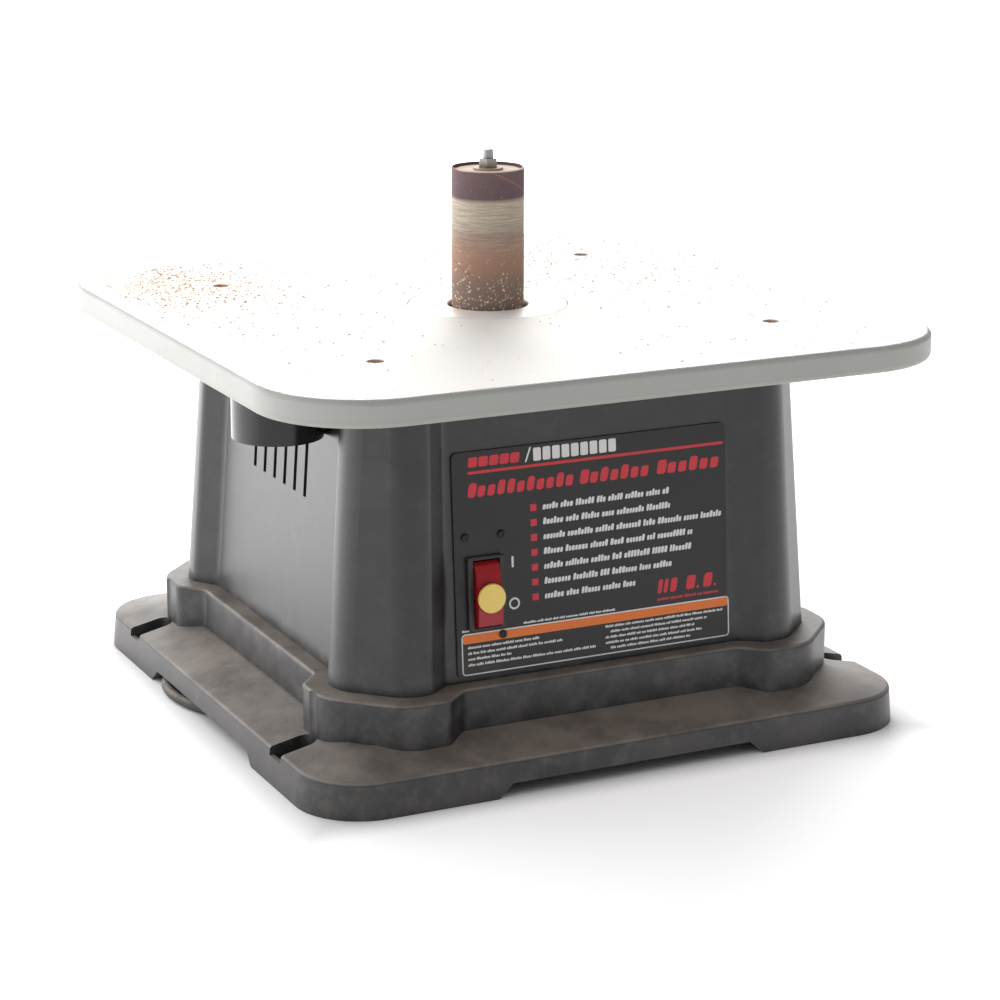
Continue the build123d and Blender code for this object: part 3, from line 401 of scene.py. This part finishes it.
def abrasive():
    """Worn sleeve: dark unused rim, loaded pale band, burnt middle, dusty foot."""
    g = Graph("abrasive", Roughness=0.88, Specular_IOR_Level=0.3)
    z = g.axis("Z")
    span = SLEEVE_HIGH - SLEEVE_LOW
    wobble = g.times(g.math("SUBTRACT", g.noise(26.0, 4.0, 0.6), 0.5), 0.0035)
    height = g.math("DIVIDE", g.math("SUBTRACT", g.math("ADD", z, wobble), SLEEVE_LOW), span)
    body = g.ramp(height, [
        (0.00, (0.262, 0.201, 0.183)), (0.26, (0.293, 0.213, 0.183)),
        (0.40, (0.451, 0.262, 0.189)), (0.50, (0.537, 0.348, 0.262)),
        (0.585, (0.488, 0.366, 0.293)), (0.625, (0.573, 0.494, 0.403)),
        (0.70, (0.665, 0.580, 0.470)), (0.795, (0.647, 0.555, 0.439)),
        (0.822, (0.159, 0.104, 0.117)), (1.00, (0.183, 0.122, 0.129)),
    ])
    scratch = g.noise(46.0, 8.0, 0.78, (1.0, 1.0, 24.0))
    grit = g.noise(1300.0, 2.0, 0.6)
    worn = g.times(g.step(height, 0.36, 0.50), g.step(height, 0.83, 0.78))
    shade = g.times(worn, g.step(scratch, 0.42, 0.62), 0.55)
    colour = g.blend(shade, body, (0.150, 0.112, 0.088))
    pale = g.times(worn, g.step(scratch, 0.54, 0.68), 0.45)
    colour = g.blend(pale, colour, (0.68, 0.60, 0.50))
    colour = g.blend(g.times(g.step(grit, 0.50, 0.72), 0.35), colour, (0.34, 0.25, 0.21))
    x, y = g.axis("X"), g.axis("Y")
    turn = g.math("DIVIDE", g.math("ARCTAN2", y, x), 2 * math.pi)
    phase = g.math("ADD", g.math("DIVIDE", z, SEAM_LEAD), turn)
    phase = g.math("FRACT", g.math("ADD", phase, SEAM_SHIFT))
    seam = g.step(g.math("ABSOLUTE", g.math("SUBTRACT", phase, 0.5)), 0.014, 0.005)
    colour = g.blend(g.times(seam, 0.7), colour, (0.36, 0.17, 0.14))
    thick = g.step(height, 0.50, 0.10)
    specks = g.step(g.cells(400.0), 0.46, 0.30)
    pick = g.noise(240.0, 3.0, 0.65)
    keep = g.step(g.math("ADD", pick, g.times(thick, 0.18)), 0.60, 0.65)
    few = g.times(g.step(g.cells(330.0), 0.16, 0.09), g.step(pick, 0.56, 0.61))
    dust = g.most(g.times(specks, keep, g.step(height, 0.56, 0.44)), few)
    tint = g.noise(230.0, 2.0)
    colour = g.blend(dust, colour, g.blend(tint, (0.66, 0.40, 0.22), (0.97, 0.87, 0.68)))
    rim = g.step(g.facing(), 0.5, 0.8)
    lip = g.blend(g.step(y, 0.012, -0.012), (0.16, 0.050, 0.045), (0.82, 0.66, 0.56))
    lip_foot, lip_top = SLEEVE_HIGH - 0.0011, SLEEVE_HIGH - 0.0006
    edge = g.times(g.step(z, lip_foot, lip_top), g.step(y, 0.004, -0.006), 0.8)
    colour = g.blend(g.most(rim, edge), colour, lip)
    g.set("Base Color", colour)
    relief = g.math("ADD", g.times(grit, 0.7), g.times(dust, 1.6))
    relief = g.math("ADD", relief, g.times(g.math("MULTIPLY", scratch, worn), 0.8))
    g.bump(relief, 0.00028, 0.8)
    return g.material


def drum_rubber():
    """Dusty end face, with a dark red rim where it meets the sleeve."""
    g = Graph("drum_rubber", Roughness=0.8)
    face_r, rim_r = 0.0228, 0.0240
    x, y = g.axis("X"), g.axis("Y")
    radius = g.from_axis(x, y)
    rim = g.step(radius, face_r, rim_r)
    cloud = g.noise(110.0, 5.0, 0.7)
    dusted = g.blend(cloud, (0.56, 0.41, 0.32), (0.78, 0.65, 0.55))
    g.set("Base Color", g.blend(rim, dusted, (0.16, 0.055, 0.045)))
    g.bump(cloud, 0.0003, 0.6)
    return g.material


def metal(name, low, high, roughness, grain=(1, 1, 1), scale=300.0, metallic=1.0):
    """Streaky metal between two colours; grain stretches the streaks."""
    g = Graph(name, Metallic=metallic)
    streak = g.noise(scale, 4.0, 0.6, grain)
    g.set("Base Color", g.blend(streak, low, high))
    g.set("Roughness", g.value(streak, roughness - 0.08, roughness + 0.12))
    g.bump(streak, 0.00006, 0.4)
    return g.material


def plastic(name, low, high, roughness, grain=900.0, depth=0.00006, dust=0.0):
    """Moulded plastic or rubber; dust from 0 to 1 lies on what faces up."""
    g = Graph(name, Specular_IOR_Level=0.5)
    cloud = g.noise(24.0, 5.0, 0.6)
    colour = g.blend(cloud, low, high)
    if dust:
        lying = g.times(g.step(g.facing(), 0.3, 0.9), g.step(g.noise(50.0, 6.0, 0.7), 0.32, 0.62))
        film = g.most(g.times(lying, dust), g.times(g.step(cloud, 0.45, 0.75), dust * 0.25))
        colour = g.blend(film, colour, (0.26, 0.20, 0.155))
    g.set("Base Color", colour)
    g.set("Roughness", g.value(g.noise(80.0, 4.0), roughness - 0.06, roughness + 0.10))
    g.bump(g.noise(grain, 3.0), depth, 0.5)
    return g.material


def print_film():
    """The panel's dark film, with faint dust along its lower edge."""
    g = Graph("panel_film", Specular_IOR_Level=0.5)
    dust_top, dust_foot = 0.10, 0.066
    cloud = g.noise(30.0, 5.0, 0.6)
    colour = g.blend(cloud, (0.0095, 0.0080, 0.0078), (0.0150, 0.0130, 0.0120))
    low = g.times(g.step(g.axis("Z"), dust_top, dust_foot), g.step(cloud, 0.4, 0.8), 0.3)
    g.set("Base Color", g.blend(low, colour, (0.14, 0.11, 0.09)))
    g.set("Roughness", g.value(cloud, 0.34, 0.46))
    g.bump(g.noise(1200.0, 2.0), 0.00004, 0.4)
    return g.material


def ink(name, colour):
    g = Graph(name, Roughness=0.45)
    wear = g.noise(700.0, 3.0, 0.6)
    worn_shade = 0.72
    dark = tuple(c * worn_shade for c in colour)
    g.set("Base Color", g.blend(wear, dark, colour))
    g.bump(wear, 0.00002, 0.3)
    return g.material


# ---- power cord ----
def make_cord():
    """The lead's own line: the route of the CAD tube, then the stored turns."""
    low = 0.004
    thick = 0.0076
    route = [
        (0.060, 0.220, 0.048), (0.060, 0.243, 0.048), (0.061, 0.270, 0.034),
        (0.059, 0.300, 0.013), (0.050, 0.332, low), (0.026, 0.352, low),
        (-0.006, 0.352, low), (-0.032, 0.334, low), (-0.046, 0.302, low),
        (-0.052, 0.262, low), (-0.061, 0.216, low), (-0.078, 0.176, low),
        (-0.108, 0.146, low), (-0.152, 0.130, low), (-0.194, 0.120, low),
        (-0.226, 0.094, low), (-0.236, 0.058, low), (-0.229, 0.018, low),
        (-0.205, -0.014, low), (-0.174, -0.038, low), (-0.136, -0.046, low),
        (-0.104, -0.046, low),
    ]
    # Two turns wind inwards on the floor, the rest climb on top of them and wind outwards
    centre = Vector((-0.075, -0.100))
    outermost = 0.0545
    per_turn = 16
    pitch = 0.0079
    turns = 3.5
    for index in range(1, int(turns * per_turn) + 1):
        turn = index / per_turn
        inward = min(turn, 2.0)
        outward = max(turn - 2.0, 0.0)
        radius = outermost - pitch * inward + pitch * outward
        climb = min(max((turn - 1.75) / 0.5, 0.0), 1.0)
        angle = math.pi / 2 - 2 * math.pi * turn
        route.append((centre.x + radius * math.cos(angle), centre.y + radius * math.sin(angle),
                      low + thick * climb))
    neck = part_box("plug_body")
    plug_y = (neck[0].y + neck[1].y) / 2
    route.append((neck[1].x + 0.006, plug_y, 0.0126))
    route.append((neck[1].x - 0.004, plug_y, 0.013))
    curve = bpy.data.curves.new("power_lead", "CURVE")
    curve.dimensions = "3D"
    spline = curve.splines.new("NURBS")
    spline.points.add(len(route) - 1)
    # The points carry the tube's radius, because a curve's bounds grow by what they carry
    for point, place in zip(spline.points, route):
        point.co = (*place, 1)
        point.radius = 0.0038
    spline.order_u = 3
    spline.use_endpoint_u = True
    spline.resolution_u = 6
    curve.bevel_depth = 1.0
    curve.bevel_resolution = 5
    curve.use_fill_caps = True
    lead = bpy.data.objects.new("power_lead", curve)
    bpy.context.scene.collection.objects.link(lead)
    link(lead, "root")
    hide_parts("power_cord", "cord_coil")
    return lead


make_camera()
make_world()
make_floor()
make_lights()
power_lead = make_cord()


# ---- carried-over nodes ----
STEEL = metal("steel", (0.30, 0.30, 0.31), (0.52, 0.52, 0.53), 0.34)
DARK_STEEL = metal("dark_steel", (0.12, 0.12, 0.125), (0.26, 0.26, 0.27), 0.42)
ALUMINIUM = metal("cast_aluminium", (0.42, 0.42, 0.43), (0.60, 0.60, 0.61), 0.50, scale=120.0)
BRONZE = metal("bronze", (0.36, 0.21, 0.09), (0.55, 0.36, 0.17), 0.40)
COPPER = metal("copper", (0.34, 0.13, 0.05), (0.58, 0.26, 0.11), 0.36, (1, 1, 8))
BRASS = metal("brass", (0.60, 0.47, 0.22), (0.80, 0.66, 0.36), 0.28)
NUT = metal("nut_steel", (0.20, 0.185, 0.165), (0.42, 0.40, 0.37), 0.30, scale=500.0)
DUSTY_WASHER = metal("dusty_washer", (0.40, 0.29, 0.22), (0.58, 0.46, 0.38), 0.70, scale=140.0,
                     metallic=0.15)
BLACK_PAINT = plastic("black_paint", (0.018, 0.018, 0.019), (0.032, 0.032, 0.033), 0.38, 500.0)
BLACK = plastic("black_plastic", (0.016, 0.016, 0.017), (0.028, 0.028, 0.029), 0.42, dust=0.5)
GLOSS_BLACK = plastic("port_plastic", (0.006, 0.006, 0.007), (0.012, 0.012, 0.013), 0.20,
                      300.0, 0.00003, 0.15)
RUBBER = plastic("cord_rubber", (0.030, 0.028, 0.027), (0.075, 0.068, 0.060), 0.62, 500.0,
                 0.0001, 0.9)
NYLON = plastic("nylon", (0.62, 0.61, 0.55), (0.78, 0.77, 0.71), 0.45)
RED = plastic("paddle_red", (0.27, 0.006, 0.010), (0.42, 0.010, 0.018), 0.24, 260.0, 0.00005)
YELLOW = plastic("key_yellow", (0.88, 0.60, 0.13), (0.98, 0.76, 0.23), 0.42, 420.0, 0.00006)
BROWN_SCREW = metal("screw_brown", (0.22, 0.10, 0.045), (0.50, 0.27, 0.14), 0.60,
                    scale=500.0, metallic=0.2)
BLACK_SCREW = metal("screw_black", (0.020, 0.020, 0.020), (0.055, 0.055, 0.055), 0.34,
                    metallic=0.7)

paint(housing_plastic(), "housing")
paint(laminate(), "table_laminate")
paint(fibreboard(), "table_board")
paint(edge_band(), "table_edge_band")
paint(insert_plastic(), "table_insert")
paint(abrasive(), "sanding_sleeve")
paint(drum_rubber(), "rubber_drum")
paint(print_film(), "front_panel")
paint(BROWN_SCREW, "table_screws")
paint(STEEL, "plate_screws", "guide_posts", "bridge_nuts", "cover_screws", "motor_tie_bolts",
      "spindle_shaft", "drum_flange", "crank_pin", "stroke_yoke")
paint(DARK_STEEL, "stator_core", "rotor_core", "drive_worm", "wheel_shaft", "crank_disc",
      "upper_bearing", "lower_bearing")
paint(ALUMINIUM, "top_end_bell", "gear_end_bell", "gearcase_cover", "rotor_end_rings")
paint(BRONZE, "worm_wheel", "guide_bushes", "worm_end_bush")
paint(COPPER, "stator_windings")
paint(NUT, "spindle_nut")
paint(DUSTY_WASHER, "drum_washer")
paint(BLACK_PAINT, "mounting_plate", "lower_bridge", "motor_shell")
paint(BLACK, "dust_chamber", "switch_bezel", "switch_body", "holder_rail", "accessory_holder",
      "cooling_fan")
paint(GLOSS_BLACK, "dust_port")
paint(RED, "switch_paddle")
paint(YELLOW, "switch_key")
paint(BLACK_SCREW, "switch_screws")
paint(NYLON, "crank_roller")
paint(RUBBER, "strain_relief", "plug_body")
paint(BRASS, "plug_blades")
power_lead.data.materials.append(RUBBER)


# ---- printing on the front panel ----
def panel_frame():
    """Foot, up and outward directions of the panel's printed face."""
    mesh = nodes["front_panel"].data
    printed = max(mesh.polygons, key=lambda face: (round(-face.normal.y, 2), face.area))
    out = printed.normal.copy()
    out.x = 0
    out.normalize()
    up = Vector((1, 0, 0)).cross(out)
    up = up if up.z > 0 else -up
    foot = min((mesh.vertices[i].co for i in printed.vertices), key=lambda p: p.z)
    return Vector((0, foot.y, foot.z)), up, out


PANEL_FOOT, PANEL_UP, PANEL_OUT = panel_frame()
PRINT_LIFT = 0.00006


def panel_point(x, height, lift=PRINT_LIFT):
    """A point on the panel's face: x across and height up the face from its foot, in metres."""
    return Vector((x, 0, 0)) + PANEL_FOOT + PANEL_UP * height + PANEL_OUT * lift


def height_of(z):
    """Height up the face, in metres, for a world height in millimetres."""
    return (z * MM - PANEL_FOOT.z) / PANEL_UP.z


def add_plate(mesh, corners, thick=0.00005):
    """A thin plate over a convex outline of (x, height) points."""
    front = [mesh.verts.new(panel_point(x, h)) for x, h in corners]
    back = [mesh.verts.new(panel_point(x, h, PRINT_LIFT - thick)) for x, h in corners]
    mesh.faces.new(front)
    mesh.faces.new(back[::-1])
    count = len(corners)
    for i in range(count):
        j = (i + 1) % count
        mesh.faces.new((front[j], front[i], back[i], back[j]))


def rounded_bar(x_low, x_high, z_low, z_high, slant=0.0, soft=0.25):
    """Outline of a bar with soft corners, in panel millimetres; slant leans it to the right."""
    tall = z_high - z_low
    r = min(soft * tall, 0.45 * (x_high - x_low))
    outline = []
    for cx, cz, start in ((x_high - r, z_low + r, -90), (x_high - r, z_high - r, 0),
                          (x_low + r, z_high - r, 90), (x_low + r, z_low + r, 180)):
        for part in range(4):
            a = math.radians(start + 30 * part)
            px, pz = cx + r * math.cos(a), cz + r * math.sin(a)
            outline.append(((px + slant * (pz - z_low)) * MM, height_of(pz)))
    return outline


def word_bars(mesh, x_low, x_high, z_low, z_high, rng, slant=0.0, letter=None):
    """A line of blank words: small upright marks of uneven height in place of lettering."""
    tall = z_high - z_low
    letter = letter or tall * 0.62
    x = x_low
    while x < x_high - letter:
        for _ in range(rng.randint(3, 9)):
            if x > x_high - letter * 0.6:
                break
            wide = letter * rng.uniform(0.62, 0.90)
            top = z_high if rng.random() < 0.35 else z_low + tall * 0.74
            add_plate(mesh, rounded_bar(x, x + wide, z_low, top, slant))
            x += wide + letter * 0.16
        x += letter * 0.65


def finish_mesh(mesh, name, material, body, smooth=False):
    data = bpy.data.meshes.new(name)
    bmesh.ops.recalc_face_normals(mesh, faces=mesh.faces)
    mesh.to_mesh(data)
    mesh.free()
    for polygon in data.polygons:
        polygon.use_smooth = smooth
    data.materials.append(material)
    obj = bpy.data.objects.new(name, data)
    bpy.context.scene.collection.objects.link(obj)
    return link(obj, body)


def arc_plates(mesh, cx, cz, outer, inner, start, sweep):
    """A band round part of a circle, in panel millimetres and degrees."""
    count = max(4, round(sweep / 9))
    for i in range(count):
        corners = []
        for radius, step in ((outer, 0), (outer, 1), (inner, 1), (inner, 0)):
            a = math.radians(start + sweep * (i + step) / count)
            corners.append(((cx + radius * math.cos(a)) * MM, height_of(cz + radius * math.sin(a))))
        add_plate(mesh, corners)


def print_heading(red, white):
    """Blank blocks for the maker's row, a red rule and the machine's title."""
    add_plate(red, rounded_bar(-95, 105, 209.3, 211.3, soft=0.1))
    for step in range(5):
        x = -95 + 8.0 * step
        add_plate(red, rounded_bar(x, x + 7.0, 214.0, 221.0, 0.12, 0.2))
    add_plate(white, rounded_bar(-51.6, -50.4, 213.2, 223.4, 0.38, 0.1))
    for step in range(9):
        x = -45 + 7.3 * step
        add_plate(white, rounded_bar(x, x + 5.9, 213.4, 222.6, 0.0, 0.12))
    for x_low, count, pitch, tails in ((-96, 11, 7.5, (0, 3, 4, 6, 9)),
                                       (-10, 7, 8.0, (0, 2, 4)), (51, 6, 8.6, (0, 3))):
        for step in range(count):
            x = x_low + pitch * step
            wide = pitch * (0.84 if step == 0 else 0.74)
            top = 203.2 if step in tails else 200.8
            add_plate(red, rounded_bar(x, x + wide, 193.2, top, 0.18, 0.22))


def print_features(red, white, rng):
    """Seven bulleted lines and the power rating."""
    line_ends = (61, 63, 103, 79, 82, 66, 34)
    for line, end in enumerate(line_ends):
        z = 181.0 - 10.5 * line
        add_plate(red, rounded_bar(-48.4, -43.6, z - 2.4, z + 2.4, soft=0.05))
        word_bars(white, -39, end, z - 2.3, z + 2.5, rng, 0.16, 2.7)
    for x, wide in ((50, 3.4), (55, 3.0), (60, 5.2), (73, 7.2), (82, 1.8), (87, 7.0), (96, 1.8)):
        top = 117.6 if wide > 2 else 109.6
        add_plate(red, rounded_bar(x, x + wide, 107.5, top, 0.18, 0.2))
    word_bars(red, 50, 102, 102.2, 104.4, rng, 0.1, 1.5)
    word_bars(white, -56, 18, 99.9, 101.7, rng, 0.1, 1.25)
    word_bars(white, -103, -95, 99.9, 101.7, rng, 0.1, 1.25)


def print_notice(white, orange, rng):
    """Outlined box with an orange band and two columns of small print."""
    left, right, low, high, line = -103.6, 108.4, 69.2, 98.6, 0.9
    for box in ((left + 2, right - 2, low, low + line), (left + 2, right - 2, high - line, high),
                (left, left + line, low + 2, high - 2), (right - line, right, low + 2, high - 2)):
        add_plate(white, rounded_bar(*box, soft=0.2))
    for cx, cz, start in ((right - 3, low + 3, -90), (right - 3, high - 3, 0),
                          (left + 3, high - 3, 90), (left + 3, low + 3, 180)):
        arc_plates(white, cx, cz, 3.0, 3.0 - line, start, 90)
    add_plate(orange, rounded_bar(left + line, right - line, 91.6, high - line, soft=0.28))
    for row in range(4):
        z = 87.8 - 4.1 * row
        word_bars(white, -99, (-42, -26, -66, 2)[row], z, z + 2.0, rng, 0.1, 1.25)
    for row in range(5):
        z = 88.4 - 3.9 * row
        word_bars(white, 8 if row in (0, 2, 3) else 12, (103, 90, 80, 86, 76)[row],
                  z, z + 1.9, rng, 0.1, 1.25)


def print_switch_marks(white):
    """The generic signs for on and off."""
    add_plate(white, rounded_bar(-63.8, -62.2, 141.0, 149.0, soft=0.3))
    arc_plates(white, -62.4, 115.5, 4.2, 2.9, 0, 360)


def panel_print():
    rng = random.Random(7)
    red, white, orange = bmesh.new(), bmesh.new(), bmesh.new()
    print_heading(red, white)
    print_features(red, white, rng)
    print_notice(white, orange, rng)
    print_switch_marks(white)
    finish_mesh(red, "panel_print_red", ink("ink_red", (0.72, 0.030, 0.050)), "root")
    finish_mesh(white, "panel_print_white", ink("ink_white", (0.85, 0.85, 0.85)), "root")
    finish_mesh(orange, "panel_print_orange", ink("ink_orange", (0.96, 0.22, 0.030)), "root")


panel_print()


# ---- loose sawdust ----
def flake(mesh, place, size, rng):
    """One small curl of sawdust: a squashed, irregular grain."""
    turn = Matrix.Rotation(rng.uniform(0, 2 * math.pi), 4, "Z")
    tilt = Matrix.Rotation(rng.uniform(-0.5, 0.5), 4, "X")
    stretch = Matrix.Diagonal((rng.uniform(0.8, 2.2), rng.uniform(0.6, 1.1), 0.45, 1))
    grown = bmesh.ops.create_icosphere(mesh, subdivisions=1, radius=size)
    matrix = Matrix.Translation(place) @ turn @ tilt @ stretch
    for vert in grown["verts"]:
        vert.co *= rng.uniform(0.75, 1.2)
        vert.co = matrix @ vert.co


def table_sawdust():
    """Loose flakes: most at the back left, some at the right, a few anywhere."""
    rng = random.Random(21)
    flakes = 1500
    reach, corner = 0.238, 0.415
    mesh = bmesh.new()
    placed = 0
    while placed < flakes:
        kind = rng.random()
        if kind < 0.62:
            x, y = rng.gauss(-0.178, 0.040), rng.gauss(0.170, 0.075)
        elif kind < 0.84:
            x, y = rng.gauss(0.13, 0.060), rng.gauss(0.10, 0.060)
        else:
            x, y = rng.uniform(-0.235, 0.235), rng.uniform(-0.235, 0.235)
        inside = max(abs(x), abs(y)) < reach and abs(x) + abs(y) < corner
        if not inside or math.hypot(x, y) < INSERT_R + 0.003:
            continue
        size = rng.uniform(0.00022, 0.00070)
        flake(mesh, (x, y, TABLE_TOP + size * 0.35), size, rng)
        placed += 1
    g = Graph("sawdust", Roughness=0.9)
    tint = g.noise(60.0, 2.0)
    g.set("Base Color", g.ramp(tint, [(0.35, (0.74, 0.36, 0.15)), (0.65, (0.95, 0.64, 0.36))]))
    g.bump(g.noise(2500.0, 2.0), 0.0001, 0.6)
    return finish_mesh(mesh, "table_sawdust", g.material, "root")


table_sawdust()


# ---- thread on the spindle's tip ----
def stud_thread():
    """A shallow ridge wound round the free end of the stud."""
    mesh = bmesh.new()
    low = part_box("spindle_nut")[1].z + 0.0003
    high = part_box("spindle_shaft")[1].z - 0.0011
    lead, radius, ridge = 0.00125, 0.00392, 0.00042
    flank, sunk = 0.0004, 0.0001
    steps = 20
    total = int((high - low) / lead * steps)
    rows = []
    for i in range(total + 1):
        a = 2 * math.pi * i / steps
        z = low + lead * i / steps
        direction = Vector((math.cos(a), math.sin(a), 0))
        fade = min(1.0, i / steps * 2, (total - i) / steps * 2)
        rows.append([mesh.verts.new(direction * r + Vector((0, 0, z + dz))) for r, dz in
                     ((radius - sunk, -flank), (radius + ridge * fade, 0),
                      (radius - sunk, flank))])
    for a, b in zip(rows, rows[1:]):
        for i in range(3):
            j = (i + 1) % 3
            mesh.faces.new((a[i], a[j], b[j], b[i]))
    mesh.faces.new(rows[0])
    mesh.faces.new(rows[-1][::-1])
    return finish_mesh(mesh, "stud_thread", STEEL, "spindle", True)


stud_thread()
